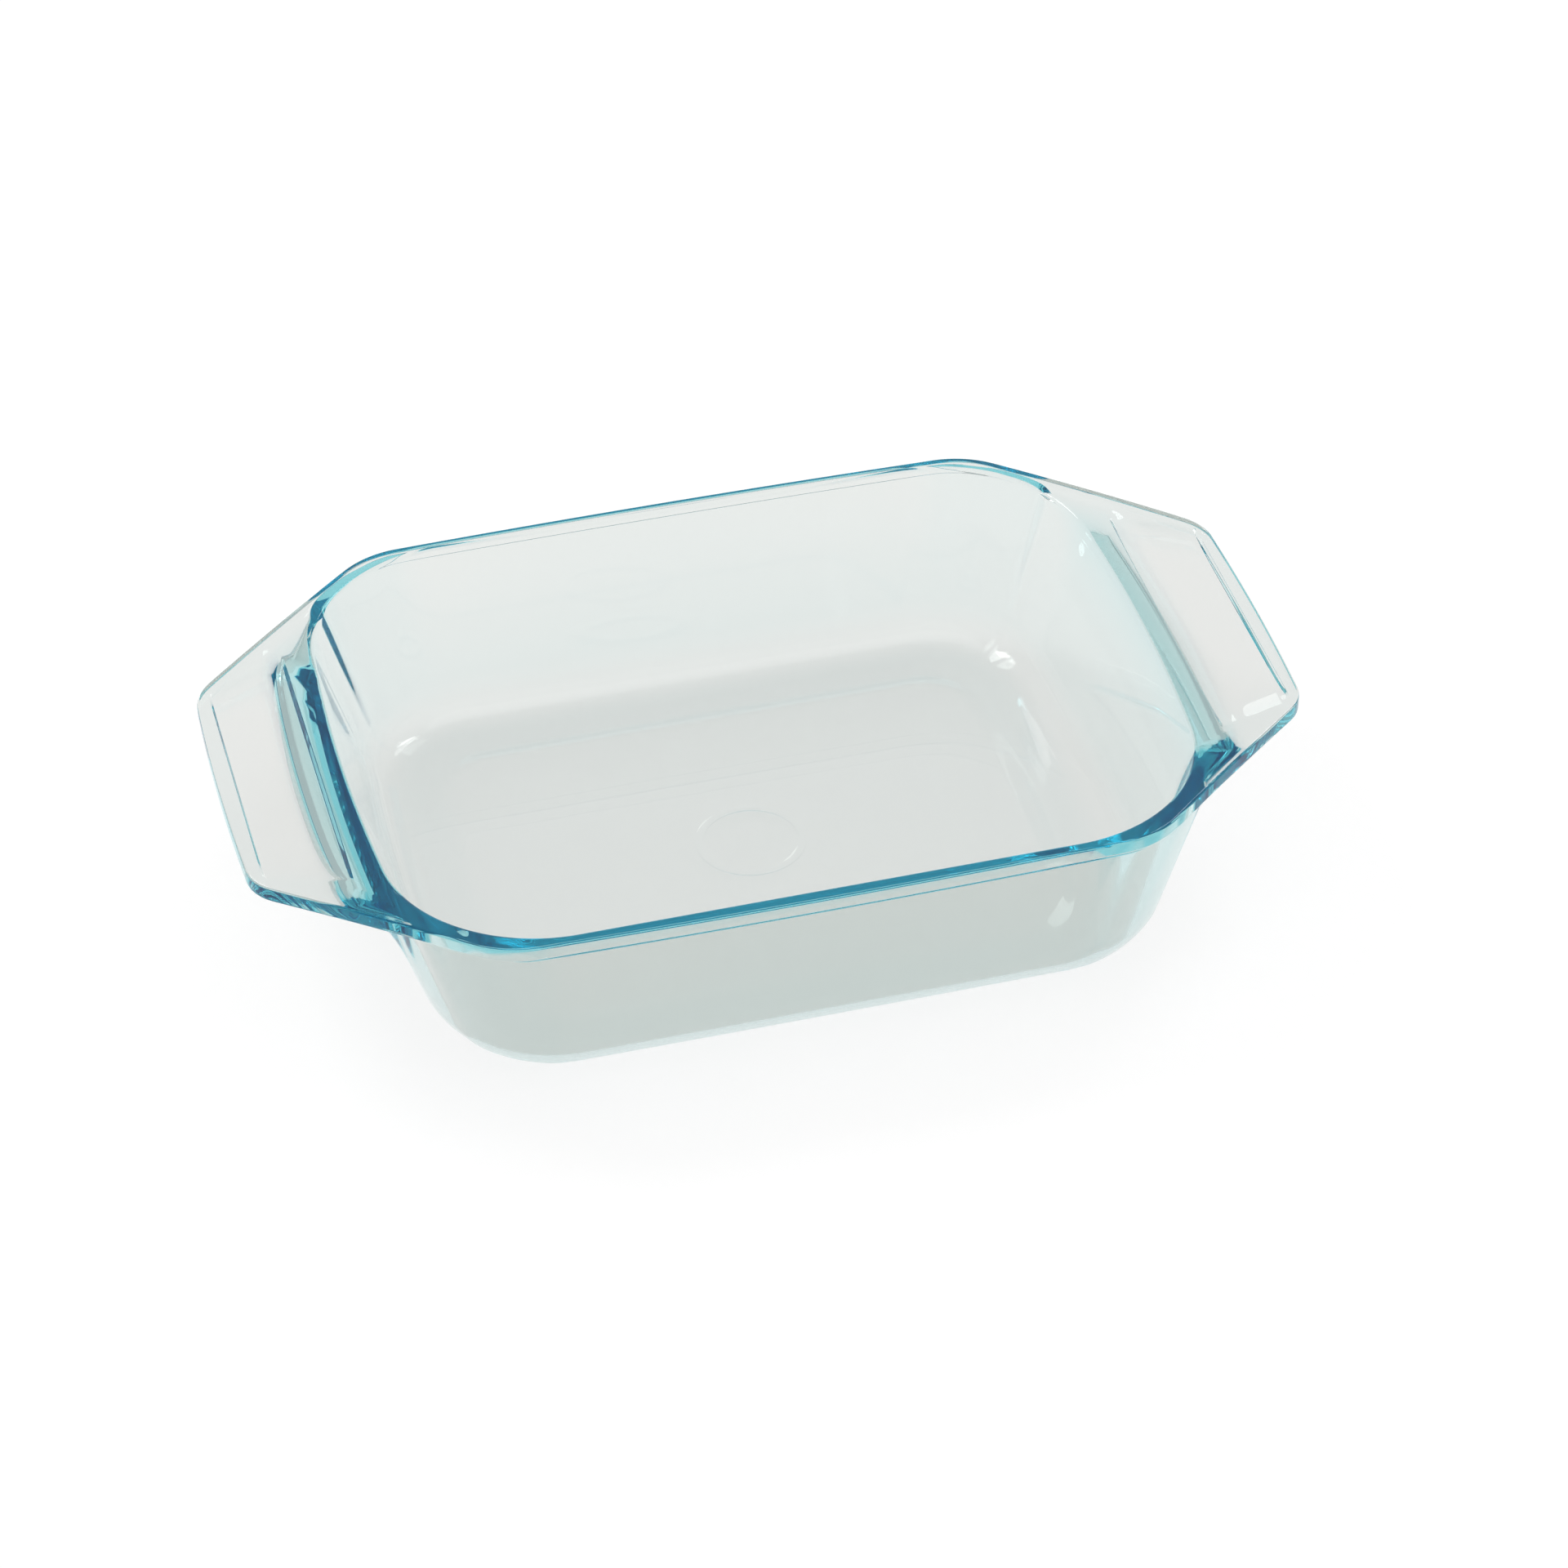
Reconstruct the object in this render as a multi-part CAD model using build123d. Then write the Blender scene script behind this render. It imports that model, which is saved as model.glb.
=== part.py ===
from build123d import *
import math
import os

# A rectangular baking dish pressed from one piece of clear glass, with two wing handles that
# are part of the same piece. Millimetres, +Z up. The origin is the centre of the underside,
# +X runs from handle to handle and the long walls face +Y and -Y.

os.makedirs("parts", exist_ok=True)

# Overall size
length = 310.0
width = 196.0
height = 58.5

# Rim, seen from above
handle_half_width = 45.0
handle_end_bulge = 1.2
long_side_half_length = 93.5
long_side_bulge = 1.4
handle_corner_radius = 15.0
shoulder_radius = 28.0
inner_rim_round = 1.4
outer_rim_round = 0.8
under_rim_round = 0.8

# Basin: one rounded rectangle for each level that a wall passes. The end walls are bowed, and
# end_turn is how many degrees they have turned where they meet the corners.
opening = (238.6, 187.0, 46.0)
cavity_foot = (206.6, 163.6, 32.4)
outer_wall_top = (247.6, 194.0, 50.5)
outer_foot = (213.6, 176.4, 37.0)
outer_wall_top_level = 55.0
floor_thickness = 5.0
outer_bottom_round = 19.0
cavity_bottom_round = 9.0
end_turn = 4.5
foot_recess = (176.0, 132.0, 20.0)
foot_recess_inner = (160.0, 116.0, 12.0)
foot_recess_depth = 0.6

# Rim and handles, seen from the side
lip_thickness = 4.4
handle_drop = 2.5
handle_thickness = 4.8
bend_start = 96.0

# Sloping web under each handle, where it joins the end wall
web_foot = (235.7, 187.1, 45.6)
web_foot_level = 36.0
web_top = (264.0, 192.8, 56.0)
web_top_level = 54.6

# Sunk panel in each handle
panel_inner_x = 126.0
panel_outer_x = 150.2
panel_inner_half_width = 53.5
panel_outer_half_width = 44.0
panel_corner_radius = 5.0
panel_level_inner = 56.1
panel_level_outer = 54.9
panel_dish_radius = 850.0

# Plain moulded ring in the middle of the underside
ring_radius = 16.0
ring_wire_width = 1.6
ring_height = 0.3


def rounded_rectangle(size, level):
    """A rounded rectangle with bowed ends, given as length, width and corner radius, at a level."""
    size_x, size_y, radius = size
    half_width = size_y / 2
    bow_radius = (half_width - radius) / math.sin(math.radians(end_turn)) + radius
    corner_x = size_x / 2 - bow_radius + math.sqrt(bow_radius**2 - half_width**2)
    right_end = ThreePointArc((corner_x, -half_width), (size_x / 2, 0), (corner_x, half_width))
    far_side = Line((corner_x, half_width), (-corner_x, half_width))
    left_end = ThreePointArc((-corner_x, half_width), (-size_x / 2, 0), (-corner_x, -half_width))
    near_side = Line((-corner_x, -half_width), (corner_x, -half_width))
    outline = make_face([right_end, far_side, left_end, near_side])
    return Plane.XY.offset(level) * fillet(outline.vertices(), radius)


def taper(low, low_level, high, high_level):
    """A block with straight sloping sides from one rounded rectangle to another."""
    sections = [rounded_rectangle(low, low_level), rounded_rectangle(high, high_level)]
    return loft(sections, ruled=True)


def basin_block(low, low_level, high, high_level, bottom_round):
    """A block that widens upwards, with its bottom edge rounded."""
    block = taper(low, low_level, high, high_level)
    bottom_edges = block.faces().sort_by(Axis.Z)[0].edges()
    return fillet(bottom_edges, bottom_round)


def rim_outline():
    """The outer edge of the rim and handles: an eight-sided outline with four bowed sides."""
    end_x = length / 2 - handle_end_bulge
    side_y = width / 2 - long_side_bulge
    end_y = handle_half_width
    side_x = long_side_half_length
    right_end = ThreePointArc((end_x, -end_y), (length / 2, 0), (end_x, end_y))
    far_right = Line((end_x, end_y), (side_x, side_y))
    far_side = ThreePointArc((side_x, side_y), (0, width / 2), (-side_x, side_y))
    far_left = Line((-side_x, side_y), (-end_x, end_y))
    left_end = ThreePointArc((-end_x, end_y), (-length / 2, 0), (-end_x, -end_y))
    near_left = Line((-end_x, -end_y), (-side_x, -side_y))
    near_side = ThreePointArc((-side_x, -side_y), (0, -width / 2), (side_x, -side_y))
    near_right = Line((side_x, -side_y), (end_x, -end_y))
    sides = [right_end, far_right, far_side, far_left, left_end, near_left, near_side, near_right]
    outline = make_face(sides)
    corners = outline.vertices().filter_by(lambda corner: abs(corner.X) > side_x + 1)
    outline = fillet(corners, handle_corner_radius)
    shoulders = outline.vertices().filter_by(
        lambda corner: abs(abs(corner.X) - side_x) < 0.01 and abs(abs(corner.Y) - side_y) < 0.01
    )
    return fillet(shoulders, shoulder_radius)


def rim_side_profile():
    """The rim plate seen from the long side: level over the basin, curving down to both handles."""
    end_x = length / 2
    end_top = height - handle_drop
    end_bottom = end_top - handle_thickness
    lip_bottom = height - lip_thickness
    sides = []
    for level, end_level in ((height, end_top), (lip_bottom, end_bottom)):
        sides.append(Line((-bend_start, level), (bend_start, level)))
        sides.append(TangentArc((bend_start, level), (end_x, end_level), tangent=(1, 0)))
        sides.append(TangentArc((-bend_start, level), (-end_x, end_level), tangent=(-1, 0)))
    for x in (-end_x, end_x):
        sides.append(Line((x, end_top), (x, end_bottom)))
    return Plane.XZ * make_face(sides)


def is_bend_line(edge):
    """True for the straight edges across the plate where it starts to curve down."""
    return abs(abs((edge @ 0.5).X) - bend_start) < 0.01 and abs(edge.tangent_at(0.5).Y) > 0.99


def plate_middle_level(x):
    """The level halfway through the rim plate at a distance x from the middle, near enough."""
    share = max(0, (abs(x) - bend_start) / (length / 2 - bend_start))
    return height - lip_thickness / 2 - handle_drop * share**2


def is_outer_edge(edge):
    """True for the long edges that run round the rim plate."""
    return not is_bend_line(edge) and abs(edge.tangent_at(0.5).Z) < 0.9


def lies_high(edge):
    """True for an edge in the upper half of the rim plate."""
    middle = edge @ 0.5
    return middle.Z > plate_middle_level(middle.X)


def rim_plate():
    """The rim with both handles, its outer edges rounded, before the basin is cut out of it."""
    slab = extrude(rim_side_profile(), width, both=True)
    plate = slab & extrude(rim_outline(), height)
    top_edges = plate.edges().filter_by(lambda edge: is_outer_edge(edge) and lies_high(edge))
    plate = fillet(top_edges, outer_rim_round)
    under_edges = plate.edges().filter_by(lambda edge: is_outer_edge(edge) and not lies_high(edge))
    return fillet(under_edges, under_rim_round)


def is_basin_edge(edge):
    """True for the sharp edges where the basin's walls meet the top of the rim."""
    box = edge.bounding_box()
    inside_length = max(-box.min.X, box.max.X) < opening[0] / 2 + 0.05
    inside_width = max(-box.min.Y, box.max.Y) < opening[1] / 2 + 0.05
    near_top = box.min.Z > height - handle_drop / 2
    return inside_length and inside_width and near_top and not is_bend_line(edge)


def panel_dish():
    """A long cylinder lying along the handle, whose underside gives the panel its hollow."""
    reach = panel_outer_x - panel_inner_x
    lean = math.degrees(math.atan((panel_level_inner - panel_level_outer) / reach))
    axis_middle = (panel_inner_x, 0, panel_level_inner + panel_dish_radius)
    cylinder = Cylinder(panel_dish_radius, length, rotation=(0, 90, 0))
    return Location(axis_middle, (0, lean, 0)) * cylinder


def handle_panel(side):
    """The space of the sunk panel in one handle. side is +1 or -1."""
    corners = [
        (panel_inner_x, panel_inner_half_width),
        (panel_outer_x, panel_outer_half_width),
        (panel_outer_x, -panel_outer_half_width),
        (panel_inner_x, -panel_inner_half_width),
    ]
    plan = make_face(Polyline(corners, close=True))
    outer_corners = plan.vertices().sort_by(Axis.X)[-2:]
    plan = fillet(outer_corners, panel_corner_radius)
    levels = [
        (panel_inner_x - 1, panel_level_inner),
        (panel_outer_x + 1, panel_level_outer),
        (panel_outer_x + 1, height + 1),
        (panel_inner_x - 1, height + 1),
    ]
    side_view = Plane.XZ * make_face(Polyline(levels, close=True))
    space = extrude(side_view, width, both=True) & extrude(plan, height + 1) & panel_dish()
    if side < 0:
        space = space.mirror(Plane.YZ)
    return space


def moulded_ring():
    """The plain ring that stands out from the recessed underside."""
    ring_plan = Circle(ring_radius) - Circle(ring_radius - ring_wire_width)
    return Plane.XY.offset(foot_recess_depth - ring_height) * extrude(ring_plan, ring_height + 0.5)


def glass_dish():
    """The whole dish: basin, rim, both handles and the underside, as one piece of glass."""
    outside = basin_block(outer_foot, 0, outer_wall_top, outer_wall_top_level, outer_bottom_round)
    cavity = basin_block(cavity_foot, floor_thickness, opening, height, cavity_bottom_round)
    above = extrude(rounded_rectangle(opening, height), 5)
    web = taper(web_foot, web_foot_level, web_top, web_top_level) & extrude(rim_outline(), height)
    dish = outside + web + rim_plate() - cavity - above
    dish = fillet(dish.edges().filter_by(is_basin_edge), inner_rim_round)
    for side in (1, -1):
        dish -= handle_panel(side)
    dish -= taper(foot_recess, 0, foot_recess_inner, foot_recess_depth)
    dish += moulded_ring()
    return dish


dish = glass_dish()
dish.label = "glass_dish"
export_step(dish, "parts/glass_dish.step")
print("volume in cubic centimetres", round(dish.volume / 1000, 1))
print("weight in kilograms at 2.23 g/cm3", round(dish.volume * 2.23e-6, 3))
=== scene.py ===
import math

import bmesh
import bpy
import numpy as np
from mathutils import Matrix, Vector


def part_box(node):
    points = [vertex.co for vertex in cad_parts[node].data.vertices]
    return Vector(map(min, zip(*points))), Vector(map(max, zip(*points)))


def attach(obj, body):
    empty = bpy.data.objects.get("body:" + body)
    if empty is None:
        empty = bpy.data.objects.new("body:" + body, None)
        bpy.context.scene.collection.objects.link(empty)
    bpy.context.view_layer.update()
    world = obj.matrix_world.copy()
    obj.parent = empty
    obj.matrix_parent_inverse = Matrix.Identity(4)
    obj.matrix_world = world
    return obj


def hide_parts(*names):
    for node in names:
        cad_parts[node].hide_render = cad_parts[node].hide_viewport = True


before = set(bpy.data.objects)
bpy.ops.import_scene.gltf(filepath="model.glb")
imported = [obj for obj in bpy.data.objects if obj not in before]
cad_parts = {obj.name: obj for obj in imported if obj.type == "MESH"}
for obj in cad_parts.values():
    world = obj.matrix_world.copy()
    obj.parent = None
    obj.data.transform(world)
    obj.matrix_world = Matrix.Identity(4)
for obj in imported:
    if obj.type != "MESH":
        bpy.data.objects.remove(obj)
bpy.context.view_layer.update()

# The frame gives the place and the outer size. Everything below is in metres.
dish_low, dish_high = (Vector(corner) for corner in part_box("glass_dish"))
middle_x = (dish_low.x + dish_high.x) / 2
middle_y = (dish_low.y + dish_high.y) / 2
base_centre = Vector((middle_x, middle_y, dish_low.z))
length = dish_high.x - dish_low.x
width = dish_high.y - dish_low.y
height = dish_high.z - dish_low.z
mm = 0.001

# Rim outline, seen from above
handle_half_width = 45 * mm
handle_end_bulge = 1.2 * mm
long_side_half_length = 93.5 * mm
long_side_bulge = 1.4 * mm
handle_corner_radius = 15 * mm
shoulder_radius = 28 * mm

# Basin: length, width and corner radius at each level that a wall passes
opening = (238.6 * mm, 187.0 * mm, 46 * mm)
cavity_foot = (206.6 * mm, 163.6 * mm, 32.4 * mm)
outer_wall_top = (247.6 * mm, 194.0 * mm, 50.5 * mm)
outer_foot = (213.6 * mm, 176.4 * mm, 37 * mm)
foot_recess = (176 * mm, 132 * mm, 20 * mm)
floor_thickness = 5 * mm
foot_recess_depth = 0.6 * mm
recess_slope_width = 8 * mm
# The basin's end walls are slightly bowed. This is how far they have turned at their corners.
end_turn = math.radians(4.5)

# Rim and handles, seen from the side
lip_thickness = 4.4 * mm
handle_thickness = 4.8 * mm
handle_drop = 2.5 * mm
bend_start = 96 * mm

# Roundings, and how far the flat floor and underside reach in from their sharp corners
outer_bottom_round = 19 * mm
cavity_bottom_round = 9 * mm
inner_rim_round = 1.4 * mm
outer_rim_round = 0.8 * mm
under_rim_round = 0.8 * mm
flat_inset = 18 * mm

# Curved web under the rim and handles, where they join the basin's wall
end_web_reach = 14 * mm
end_web_depth = 34 * mm
corner_web_reach = 8 * mm
corner_web_depth = 6 * mm
lip_web_depth = 0.3 * mm
full_web_reach = 16 * mm
lip_overhang = 0.15 * mm
followed_reach = 1.6 * mm
follow_fade = 3 * mm

# Sunk panel of each handle
panel_inner_x = 126 * mm
panel_outer_x = 150.2 * mm
panel_inner_half_width = 53.5 * mm
panel_outer_half_width = 44 * mm
panel_level_inner = 56.1 * mm
panel_level_outer = 54.9 * mm
panel_step_width = 0.9 * mm
panel_side_step = 0.12 * mm
panel_side_steepness = 7

# Plain moulded ring in the middle of the underside
ring_outer = 16 * mm
ring_inner = 14.4 * mm
ring_bevel = 0.9 * mm
ring_height = 0.15 * mm
ring_surround = 24 * mm
ring_middle = 6 * mm

# Columns of the mesh in a quarter of the dish, and how strongly they crowd towards the corner
end_columns = 26
corner_columns = 80
side_columns = 10
end_crowding = 1.35
corner_crowding = 1.2

# Points along each stretch of the rim outline
end_edge_points = 30
handle_corner_points = 40
diagonal_points = 60
shoulder_points = 30
side_edge_points = 30

# Distances that keep rows of the mesh apart, and the one below which points are joined
smallest_gap = 0.012 * mm
almost_nothing = 0.01 * mm
joining_distance = 0.0005 * mm


# ---------------------------------------------------------------- points round the dish


def spaced(steps):
    """Numbers from 0 up to, but not including, 1, in equal steps."""
    return np.arange(steps) / steps


def crowded_to_end(steps, power):
    """Numbers from 0 up to, but not including, 1, closer together near 1."""
    return 1 - (1 - spaced(steps)) ** power


def loop_parameters():
    """Where each column of the mesh stands on a rounded rectangle, anticlockwise from +X.

    Returns the corner that the column belongs to, as numbers from -1 to 1 along X and Y, and
    the direction that the column faces.
    """
    half_end = crowded_to_end(end_columns, end_crowding)
    corner_turn = end_turn + spaced(corner_columns) ** corner_crowding * (math.pi / 2 - end_turn)
    x = np.concatenate([np.ones(end_columns + corner_columns), 1 - spaced(side_columns)])
    y = np.concatenate([half_end, np.ones(corner_columns + side_columns)])
    side_turn = np.full(side_columns, math.pi / 2)
    turn = np.concatenate([half_end * end_turn, corner_turn, side_turn])
    # The other three quarters are this one reflected, so that both mirror planes are exact.
    back_x, back_y, back_turn = x[1:][::-1], y[1:][::-1], turn[1:][::-1]
    top = (0.0, 1.0, math.pi / 2)
    left = (-1.0, 0.0, math.pi)
    bottom = (0.0, -1.0, 1.5 * math.pi)
    all_x = np.concatenate([x, [top[0]], -back_x, [left[0]], -x[1:], [bottom[0]], back_x])
    all_y = np.concatenate([y, [top[1]], back_y, [left[1]], -y[1:], [bottom[1]], -back_y])
    far_turn = np.concatenate([turn, [top[2]], math.pi - back_turn])
    near_turn = np.concatenate([[left[2]], math.pi + turn[1:], [bottom[2]], 2 * math.pi - back_turn])
    return all_x, all_y, np.concatenate([far_turn, near_turn])


corner_x, corner_y, facing = loop_parameters()
outward = np.column_stack([np.cos(facing), np.sin(facing), np.zeros(len(facing))])


def rounded_rectangle(size, level):
    """One closed loop of points on a rounded rectangle with bowed ends at a level."""
    size_x, size_y, radius = size
    bow_radius = (size_y / 2 - radius) / math.sin(end_turn) + radius
    bow_centre_x = size_x / 2 - bow_radius
    corner_centre_x = bow_centre_x + (bow_radius - radius) * math.cos(end_turn)
    on_end = np.abs(corner_y) < 1
    bend = np.where(on_end, bow_radius, radius)
    centre_x = np.where(on_end, bow_centre_x, corner_centre_x)
    centre_y = np.where(on_end, 0, size_y / 2 - radius)
    x = corner_x * centre_x + bend * np.cos(facing)
    y = corner_y * centre_y + bend * np.sin(facing)
    return np.column_stack([x, y, np.full(len(x), level)])


def fillet_points(before, corner, after, radius, steps):
    """An arc that rounds a flat corner given by the points before, at and after it."""
    before, corner, after = (np.array(point, float) for point in (before, corner, after))
    back = (before - corner) / np.linalg.norm(before - corner)
    ahead = (after - corner) / np.linalg.norm(after - corner)
    half_angle = math.acos(float(np.clip(back @ ahead, -1, 1))) / 2
    reach = radius / math.tan(half_angle)
    middle = (back + ahead) / np.linalg.norm(back + ahead)
    centre = corner + middle * radius / math.sin(half_angle)
    start = corner + back * reach - centre
    end = corner + ahead * reach - centre
    angle = math.pi - 2 * half_angle
    share = np.linspace(0, 1, steps + 1)[:, None]
    return centre + (np.sin((1 - share) * angle) * start + np.sin(share * angle) * end) / math.sin(angle)


def quarter_outline():
    """The rim's outer edge from the middle of the +X end to the middle of the +Y side."""
    end_x = length / 2 - handle_end_bulge
    side_y = width / 2 - long_side_bulge
    handle_corner = (end_x, handle_half_width)
    shoulder = (long_side_half_length, side_y)
    # Both roundings start along the tangents of the bowed sides, so a point on each is needed.
    tangent_reach = 1
    end_lean = 2 * handle_end_bulge / handle_half_width * tangent_reach
    side_lean = 2 * long_side_bulge / long_side_half_length * tangent_reach
    on_end = (end_x + end_lean, handle_half_width - tangent_reach)
    on_side = (long_side_half_length - tangent_reach, side_y + side_lean)
    corner_arc = fillet_points(
        on_end, handle_corner, shoulder, handle_corner_radius, handle_corner_points
    )
    shoulder_arc = fillet_points(handle_corner, shoulder, on_side, shoulder_radius, shoulder_points)
    end_y = np.linspace(0, corner_arc[0, 1], end_edge_points)[:-1]
    end_bulge = handle_end_bulge * (end_y / handle_half_width) ** 2
    end_edge = np.column_stack([length / 2 - end_bulge, end_y])
    share = np.linspace(0, 1, diagonal_points)[1:-1, None]
    diagonal = corner_arc[-1] + (shoulder_arc[0] - corner_arc[-1]) * share
    side_x = np.linspace(shoulder_arc[-1, 0], 0, side_edge_points)[1:]
    bulge = long_side_bulge * (side_x / long_side_half_length) ** 2
    side_edge = np.column_stack([side_x, width / 2 - bulge])
    return np.concatenate([end_edge, corner_arc, diagonal, shoulder_arc, side_edge])


def rim_edge_distance(mouth):
    """How far the rim's outer edge is from the basin's opening, along each column's direction."""
    outline = quarter_outline()
    distances = []
    for point, way in zip(np.abs(mouth[:, :2]), np.abs(outward[:, :2])):
        offset = outline - point
        across = offset @ np.array([-way[1], way[0]])
        distances.append(np.interp(0, across, offset @ way))
    return np.array(distances)


# ---------------------------------------------------------------- heights of the rim


def droop(x):
    """How far the rim has curved down at a distance x from the middle."""
    share = np.clip((np.abs(x) - bend_start) / (length / 2 - bend_start), 0, None)
    return handle_drop * share**2


def smooth(share):
    """A ramp from 0 to 1 with soft ends."""
    share = np.clip(share, 0, 1)
    return share * share * (3 - 2 * share)


def panel_half_width(x):
    """Half the width of the sunk panels at a distance x from the middle."""
    share = (np.abs(x) - panel_inner_x) / (panel_outer_x - panel_inner_x)
    return panel_inner_half_width + (panel_outer_half_width - panel_inner_half_width) * share


def crisp_ramp(share):
    """A straight ramp from 0 to 1 with small rounded corners."""
    soft = 0.12
    share = np.clip(share, 0, 1)
    straight = (share - soft / 2) / (1 - soft)
    start = share**2 / (2 * soft * (1 - soft))
    end = 1 - (1 - share) ** 2 / (2 * soft * (1 - soft))
    return np.where(share < soft, start, np.where(share > 1 - soft, end, straight))


def panel_share(x):
    """0 outside the sunk panels' length, 1 on their floors, and a ramp over both end steps."""
    inside = np.minimum(np.abs(x) - panel_inner_x, panel_outer_x - np.abs(x))
    return crisp_ramp(inside / panel_step_width)


def top_level(x, y):
    """The height of the rim's and handles' upper face."""
    plain = height - droop(x)
    share = (np.abs(x) - panel_inner_x) / (panel_outer_x - panel_inner_x)
    floor_level = panel_level_inner + (panel_level_outer - panel_level_inner) * np.clip(share, 0, 1)
    from_side = panel_half_width(x) - np.abs(y)
    across = np.clip(1 - (np.abs(y) / panel_half_width(x)) ** panel_side_steepness, 0, 1)
    side_step = panel_side_step * smooth(from_side / panel_step_width)
    depth = np.maximum(plain - floor_level, 0) * across + side_step
    return plain - depth * panel_share(x)


def under_level(x):
    """The height of the rim's and handles' lower face."""
    share = np.clip((np.abs(x) - bend_start) / (length / 2 - bend_start), 0, 1)
    thickness = lip_thickness + (handle_thickness - lip_thickness) * smooth(share)
    return height - droop(x) - thickness


# ---------------------------------------------------------------- loops of the mesh


def rounded_corner(before, corner, after, radius, steps):
    """Loops that round the corner between three loops, column by column."""
    back = before - corner
    ahead = after - corner
    back = back / np.linalg.norm(back, axis=1)[:, None]
    ahead = ahead / np.linalg.norm(ahead, axis=1)[:, None]
    angle = np.arccos(np.clip((back * ahead).sum(1), -1, 1))
    middle = back + ahead
    middle = middle / np.linalg.norm(middle, axis=1)[:, None]
    centre = corner + middle * (radius / np.sin(angle / 2))[:, None]
    reach = (radius / np.tan(angle / 2))[:, None]
    start = corner + back * reach - centre
    end = corner + ahead * reach - centre
    turn = (math.pi - angle)[:, None]
    loops = []
    for share in np.linspace(0, 1, steps + 1):
        weight_start = np.sin((1 - share) * turn) / np.sin(turn)
        weight_end = np.sin(share * turn) / np.sin(turn)
        loops.append(centre + weight_start * start + weight_end * end)
    return loops


def between(first, last, steps):
    """Loops evenly placed between two loops, without the two themselves."""
    return [first + (last - first) * k / steps for k in range(1, steps)]


def rows_between(first, last, shares):
    """Rows at shares of the way from one row of distances to another."""
    return [first + (last - first) * share for share in shares]


def panel_step_lines(mouth, distance):
    """Distances from the opening to the inner and the outer step of the panel, by column."""
    turn = np.arctan2(np.abs(np.sin(facing)), np.abs(np.cos(facing)))
    slant = np.maximum(np.cos(turn), 0.5)
    inner_line = (panel_inner_x - np.abs(mouth[:, 0])) / slant
    outer_line = (panel_outer_x - np.abs(mouth[:, 0])) / slant
    end_distance = length / 2 - opening[0] / 2
    inner_share = distance * (panel_inner_x - opening[0] / 2) / end_distance
    outer_share = distance * (panel_outer_x - opening[0] / 2) / end_distance
    # Round the corners, past the panel, the rows leave its straight steps and spread evenly.
    leaving, fading = math.radians(8), math.radians(9)
    fade = smooth((turn - leaving) / fading)
    inner = np.minimum(inner_line, distance * 0.6) * (1 - fade) + inner_share * fade
    on_end = np.abs(corner_y) < 1
    edge_room = 3 * mm
    outer = np.where(on_end, np.minimum(outer_line, distance - edge_room), outer_share)
    scale = np.where(on_end, 1, np.minimum(distance / end_distance, 1))
    return inner, outer, scale


def rim_rows(mouth, distance):
    """Distances from the opening for the rows across the rim, crowded at the panel's steps."""
    inner, outer, scale = panel_step_lines(mouth, distance)
    before_step = [-0.5 * mm, -0.12 * mm]
    step_rounding = [0, 0.06 * mm, 0.12 * mm, 0.18 * mm]
    step_start = before_step + step_rounding
    on_ramp = [panel_step_width * share for share in (0.35, 0.65)]
    step_end = [panel_step_width - offset for offset in reversed(step_start)]
    offsets = step_start + on_ramp + step_end
    rows = [inner * share for share in (0.35, 0.6, 0.8)]
    rows += [inner + scale * offset for offset in offsets]
    panel_rows = 12
    panel_end = outer - scale * offsets[-1]
    rows += rows_between(rows[-1], panel_end, np.linspace(0, 1, panel_rows)[1:-1])
    rows += [outer - scale * offset for offset in reversed(offsets)]
    rows += rows_between(rows[-1], distance - outer_rim_round, (0.35, 0.7))
    return rows


def circle_loop(radius, level, like):
    """A circle whose columns stand in the same directions as those of another loop."""
    angle = np.arctan2(like[:, 1], like[:, 0])
    x, y = radius * np.cos(angle), radius * np.sin(angle)
    return np.column_stack([x, y, np.full(len(angle), level)])


def web_loops(edge, wall_top, wall_foot):
    """The underside of the rim and handles, curving smoothly down into the basin's outer wall."""
    along = edge - wall_top
    reach = np.linalg.norm(along, axis=1)[:, None]
    down = wall_foot - wall_top
    down = down / np.linalg.norm(down, axis=1)[:, None]
    at_corner = np.sin(2 * facing)[:, None] ** 2
    web_reach = end_web_reach + (corner_web_reach - end_web_reach) * at_corner
    web_depth = end_web_depth + (corner_web_depth - end_web_depth) * at_corner
    start = wall_top + along * np.minimum(1, web_reach / np.maximum(reach, almost_nothing))
    depth = lip_web_depth + (web_depth - lip_web_depth) * smooth(reach / full_web_reach)
    end = wall_top + down * depth
    flat_steps = 8
    curve_points = 25
    loops = between(edge, start, flat_steps)
    for share in np.linspace(0, 1, curve_points):
        curve = start * (1 - share) ** 2 + wall_top * 2 * share * (1 - share) + end * share**2
        loops.append(curve)
    return loops


def outer_wall_top_loop(edge_top):
    """Where the basin's outer wall meets the underside of the rim and handles."""
    wall_top = rounded_rectangle(outer_wall_top, 0)
    wall_top[:, 2] = under_level(wall_top[:, 0])
    reach = np.linalg.norm((edge_top - wall_top)[:, :2], axis=1)
    # Along the long sides, where the rim stands out least, the wall follows its bowed edge.
    follow = 1 - smooth((reach - followed_reach) / follow_fade)
    wall_top[:, :2] += outward[:, :2] * ((reach - lip_overhang) * follow)[:, None]
    return wall_top


def cavity_loops(foot, mouth, edge_top):
    """The inside of the basin, from the middle of its floor to the rounded edge of the opening."""
    flat_floor = foot - outward * flat_inset
    loops = [flat_floor * [share, share, 1] for share in (0.25, 0.5, 0.75)]
    loops.append(flat_floor)
    wall_steps = 5
    loops += rounded_corner(flat_floor, foot, mouth, cavity_bottom_round, steps=18)
    rim_start = rounded_corner(foot, mouth, edge_top, inner_rim_round, steps=14)
    return loops + between(loops[-1], rim_start[0], wall_steps) + rim_start


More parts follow.
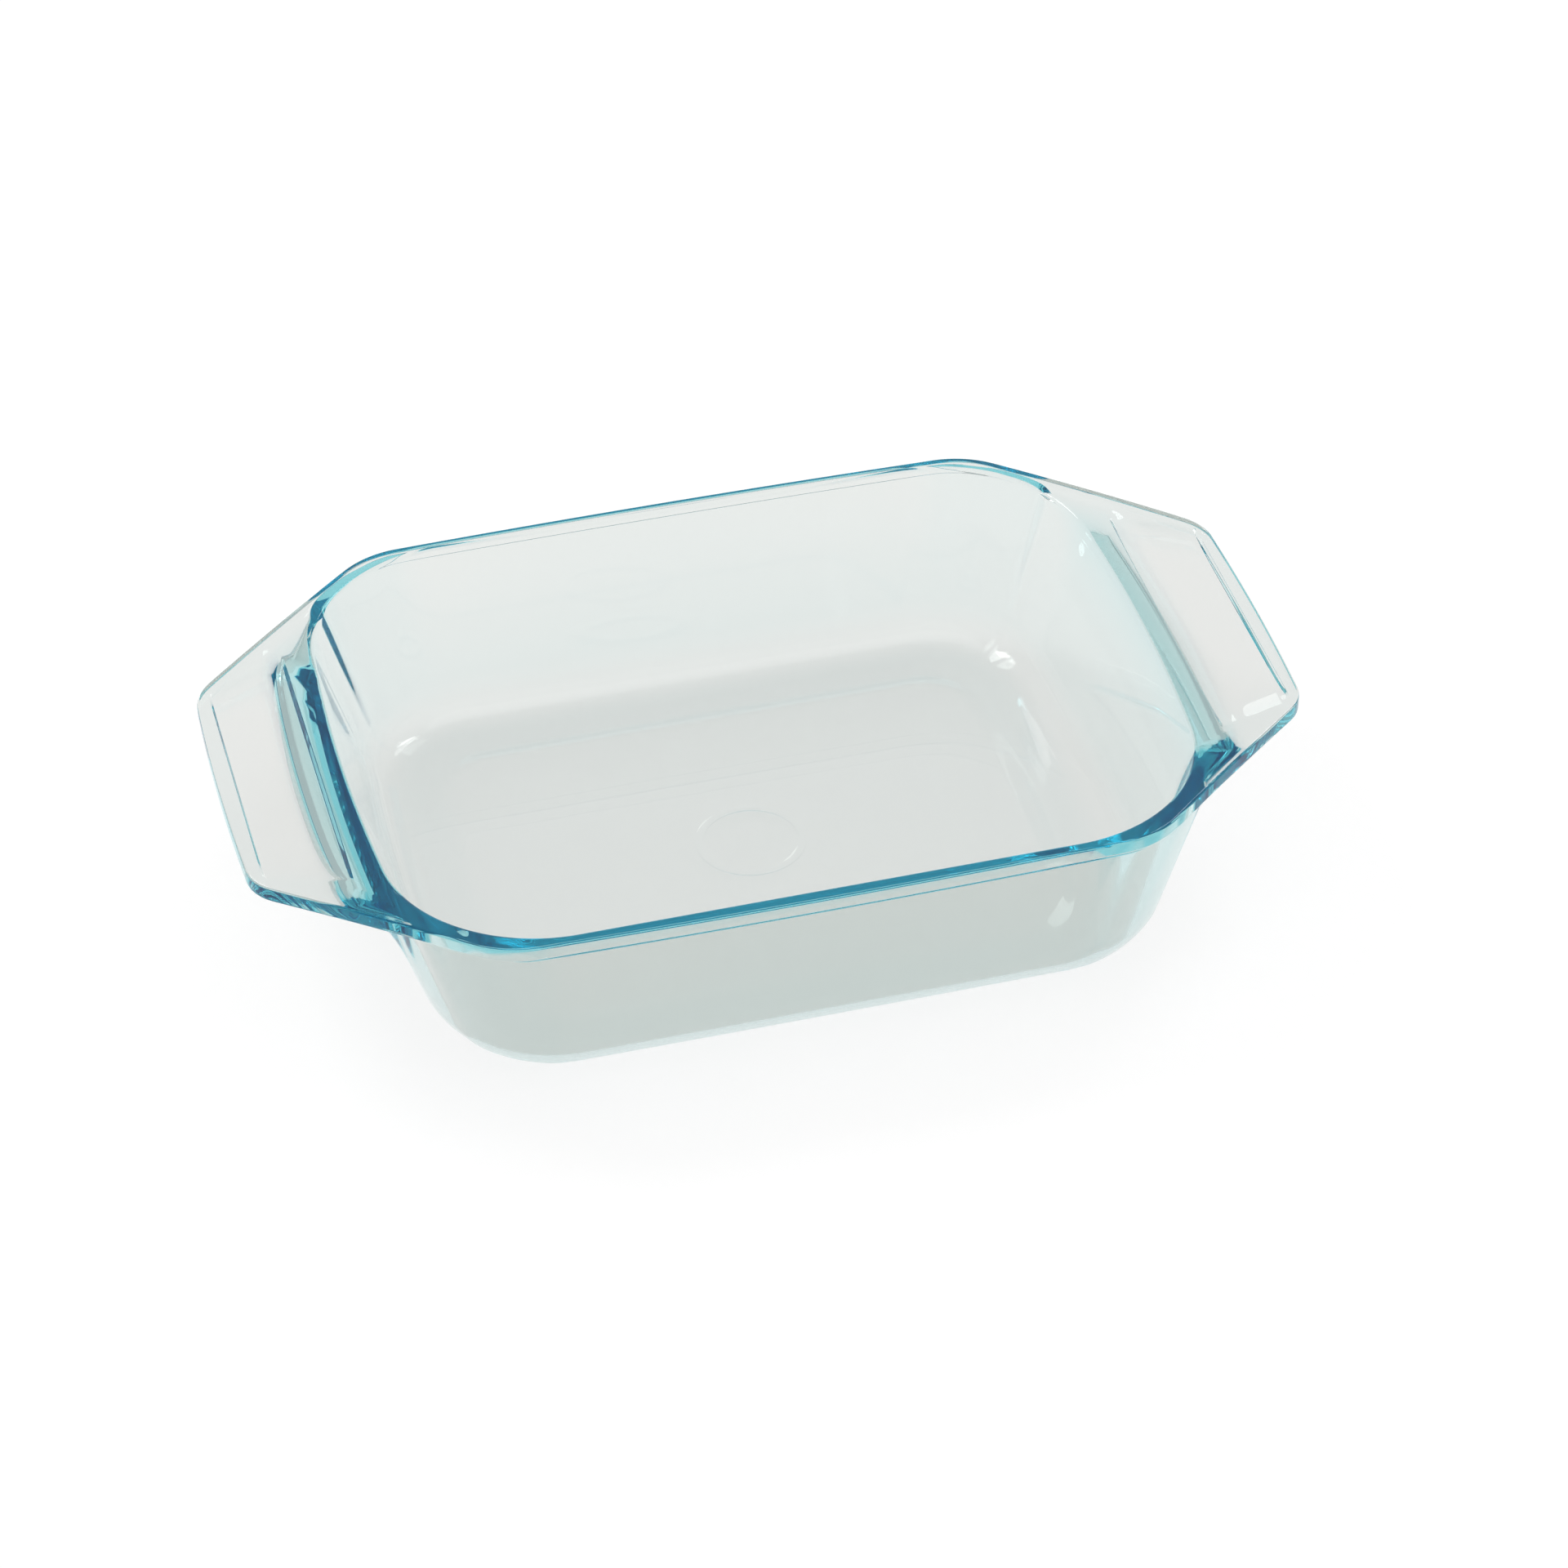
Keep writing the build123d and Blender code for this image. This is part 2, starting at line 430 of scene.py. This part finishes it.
def rim_face_loops(mouth, distance, first):
    """The upper face of the rim, the handles and their panels, out to the edge's rounding."""
    rows = rim_rows(mouth, distance)
    last = np.linalg.norm((first - mouth)[:, :2], axis=1)
    loops = []
    for rows_left in range(len(rows), 0, -1):
        row = np.maximum(rows[-rows_left], last + smallest_gap)
        # No row may pass the place where the outer edge's rounding starts.
        row = np.minimum(row, distance - outer_rim_round - rows_left * smallest_gap)
        last = row
        points = mouth + outward * row[:, None]
        points[:, 2] = top_level(points[:, 0], points[:, 1])
        loops.append(points)
    return loops


def upper_loops():
    """Every loop of the dish, from the middle of its floor over the rim to the foot."""
    foot = rounded_rectangle(cavity_foot, floor_thickness)
    mouth = rounded_rectangle(opening, height)
    mouth[:, 2] = height - droop(mouth[:, 0])
    distance = rim_edge_distance(mouth)
    edge_top = mouth + outward * distance[:, None]
    edge_top[:, 2] = height - droop(edge_top[:, 0])
    edge_bottom = edge_top.copy()
    edge_bottom[:, 2] = under_level(edge_bottom[:, 0])
    wall_top = outer_wall_top_loop(edge_top)
    outer_corner = rounded_rectangle(outer_foot, 0)
    underside = outer_corner - outward * flat_inset

    loops = cavity_loops(foot, mouth, edge_top)
    loops += rim_face_loops(mouth, distance, loops[-1])
    loops += rounded_corner(mouth, edge_top, edge_bottom, outer_rim_round, steps=9)
    loops += rounded_corner(edge_top, edge_bottom, wall_top, under_rim_round, steps=8)
    loops += web_loops(loops[-1], wall_top, outer_corner)
    wall_steps = 5
    bottom = rounded_corner(wall_top, outer_corner, underside, outer_bottom_round, steps=28)
    return loops + between(loops[-1], bottom[0], wall_steps) + bottom


def ring_loops(like):
    """The plain moulded ring, then one small loop near the middle of the underside."""
    # Distance from the middle, and share of the ring's height
    profile = [
        (ring_outer + ring_bevel, 0),
        (ring_outer + ring_bevel / 2, 0.5),
        (ring_outer, 0.9),
        (ring_outer - ring_bevel / 2, 1),
        (ring_inner + ring_bevel / 2, 1),
        (ring_inner, 0.9),
        (ring_inner - ring_bevel / 2, 0.5),
        (ring_inner - ring_bevel, 0),
        (ring_middle, 0),
    ]
    loops = []
    for radius, share in profile:
        loops.append(circle_loop(radius, foot_recess_depth - ring_height * share, like))
    return loops


def underside_loops(foot_start):
    """The underside from the foot inwards: the foot's inner edge, the recess, then the ring."""
    size_x, size_y, radius = foot_recess
    recess = rounded_rectangle(foot_recess, 0)
    slope = recess_slope_width
    inner_size = (size_x - 2 * slope, size_y - 2 * slope, radius - slope)
    inner = rounded_rectangle(inner_size, foot_recess_depth)
    foot_steps, slope_steps, middle_steps = 3, 10, 4
    loops = between(foot_start, recess, foot_steps) + [recess]
    for share in np.arange(1, slope_steps) / slope_steps:
        loops.append(recess + (inner - recess) * [share, share, smooth(share)])
    surround = circle_loop(ring_surround, foot_recess_depth, inner)
    loops += [inner] + between(inner, surround, middle_steps) + [surround]
    return loops + ring_loops(inner)


def join_coincident_points(mesh):
    """Joins points that lie on the same spot, which drops the empty faces between them."""
    shape = bmesh.new()
    shape.from_mesh(mesh)
    bmesh.ops.remove_doubles(shape, verts=shape.verts, dist=joining_distance)
    shape.to_mesh(mesh)
    shape.free()


def skin(name, loops):
    """A closed mesh through the loops, with one point at the middle of each end."""
    columns = len(loops[0])
    points = [np.array([0, 0, loops[0][0, 2]])]
    points += [point for loop in loops for point in loop]
    points.append(np.array([0, 0, loops[-1][0, 2]]))
    faces = [(0, 1 + k, 1 + (k + 1) % columns) for k in range(columns)]
    for row in range(len(loops) - 1):
        start = 1 + row * columns
        for k in range(columns):
            after = (k + 1) % columns
            faces.append((start + k, start + columns + k, start + columns + after, start + after))
    start = 1 + (len(loops) - 1) * columns
    faces += [(start + k, len(points) - 1, start + (k + 1) % columns) for k in range(columns)]
    mesh = bpy.data.meshes.new(name)
    moved = [tuple(Vector(point) + base_centre) for point in points]
    mesh.from_pydata(moved, [], faces)
    mesh.validate()
    join_coincident_points(mesh)
    mesh.update()
    for polygon in mesh.polygons:
        polygon.use_smooth = True
    piece = bpy.data.objects.new(name, mesh)
    bpy.context.collection.objects.link(piece)
    return piece


# ---------------------------------------------------------------- materials


def clear_glass():
    """Clear pressed glass, faintly blue-green where light travels a long way inside it."""
    material = bpy.data.materials.new("clear_pressed_glass")
    material.use_nodes = True
    nodes, links = material.node_tree.nodes, material.node_tree.links
    shader = nodes["Principled BSDF"]
    shader.inputs["Base Color"].default_value = (0.87, 0.836, 0.812, 1)
    shader.inputs["Roughness"].default_value = 0.0
    shader.inputs["IOR"].default_value = 1.474
    shader.inputs["Transmission Weight"].default_value = 1.0
    position = nodes.new("ShaderNodeTexCoord")
    waves = nodes.new("ShaderNodeTexNoise")
    waves.inputs["Scale"].default_value = 28
    waves.inputs["Detail"].default_value = 1.5
    bump = nodes.new("ShaderNodeBump")
    bump.inputs["Strength"].default_value = 0.05
    bump.inputs["Distance"].default_value = 0.4 * mm
    links.new(position.outputs["Object"], waves.inputs["Vector"])
    links.new(waves.outputs["Fac"], bump.inputs["Height"])
    links.new(bump.outputs["Normal"], shader.inputs["Normal"])
    tint = nodes.new("ShaderNodeVolumeAbsorption")
    tint.inputs["Color"].default_value = (0.23, 0.845, 0.91, 1)
    tint.inputs["Density"].default_value = 22
    links.new(tint.outputs["Volume"], nodes["Material Output"].inputs["Volume"])
    return material


def pale_floor():
    """A plain white studio floor that glows a little, like a light table under glass."""
    material = bpy.data.materials.new("pale_floor")
    material.use_nodes = True
    shader = material.node_tree.nodes["Principled BSDF"]
    shader.inputs["Base Color"].default_value = (0.28, 0.28, 0.28, 1)
    shader.inputs["Roughness"].default_value = 1.0
    shader.inputs["Specular IOR Level"].default_value = 0.0
    shader.inputs["Emission Color"].default_value = (1, 1, 1, 1)
    shader.inputs["Emission Strength"].default_value = 0.79
    return material


# ---------------------------------------------------------------- the dish

loops = upper_loops()
loops += underside_loops(loops[-1])
dish = skin("pressed_glass_dish", loops)
dish.data.materials.append(clear_glass())
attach(dish, "root")
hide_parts("glass_dish")

# ---------------------------------------------------------------- floor, light and camera

floor_mesh = bpy.data.meshes.new("studio_floor")
floor_half = 6.0
floor_level = dish_low.z - 0.05 * mm
corner_signs = ((-1, -1), (1, -1), (1, 1), (-1, 1))
floor_corners = [(x * floor_half, y * floor_half, floor_level) for x, y in corner_signs]
floor_mesh.from_pydata(floor_corners, [], [(0, 1, 2, 3)])
floor = bpy.data.objects.new("studio_floor", floor_mesh)
bpy.context.collection.objects.link(floor)
floor_mesh.materials.append(pale_floor())


def soft_light(name, place, target, size, power):
    """A round soft light at a place, turned towards a target."""
    data = bpy.data.lights.new(name, "AREA")
    data.shape = "DISK"
    data.size = size
    data.energy = power
    light = bpy.data.objects.new(name, data)
    light.location = place
    light.rotation_euler = (Vector(target) - Vector(place)).to_track_quat("-Z", "Y").to_euler()
    bpy.context.collection.objects.link(light)
    return light


middle = base_centre + Vector((0, 0, height / 2))
soft_light("key_light", middle + Vector((-1.1, 1.3, 1.8)), middle, 0.9, 12)
soft_light("side_light", middle + Vector((1.3, 1.1, 1.8)), middle, 0.9, 8)
soft_light("overhead_light", middle + Vector((0, 0, 3.0)), middle, 3.0, 8)

world = bpy.data.worlds.new("studio")
world.use_nodes = True
world.node_tree.nodes["Background"].inputs["Color"].default_value = (1, 1, 1, 1)
world.node_tree.nodes["Background"].inputs["Strength"].default_value = 0.6
bpy.context.scene.world = world

scene = bpy.context.scene
scene.view_settings.view_transform = "Standard"
scene.cycles.max_bounces = 64
scene.cycles.glossy_bounces = 64
scene.cycles.transmission_bounces = 64

azimuth = math.radians(-14.06)
elevation = math.radians(38.23)
roll = math.radians(-1.2)
camera_distance = 1.5514
look_at = base_centre + Vector((7.8, -10.4, 30.0)) * mm
level_reach = math.cos(elevation)
away = Vector((math.sin(azimuth) * level_reach, -math.cos(azimuth) * level_reach, math.sin(elevation)))
camera_data = bpy.data.cameras.new("camera")
camera_data.sensor_width = 36
camera_data.lens = 122.56
camera_data.clip_end = 100
camera = bpy.data.objects.new("camera", camera_data)
camera.location = look_at + away * camera_distance
facing_look = (-away).to_track_quat("-Z", "Y").to_matrix().to_4x4()
camera.rotation_euler = (facing_look @ Matrix.Rotation(roll, 4, "Z")).to_euler()
bpy.context.collection.objects.link(camera)
scene.camera = camera
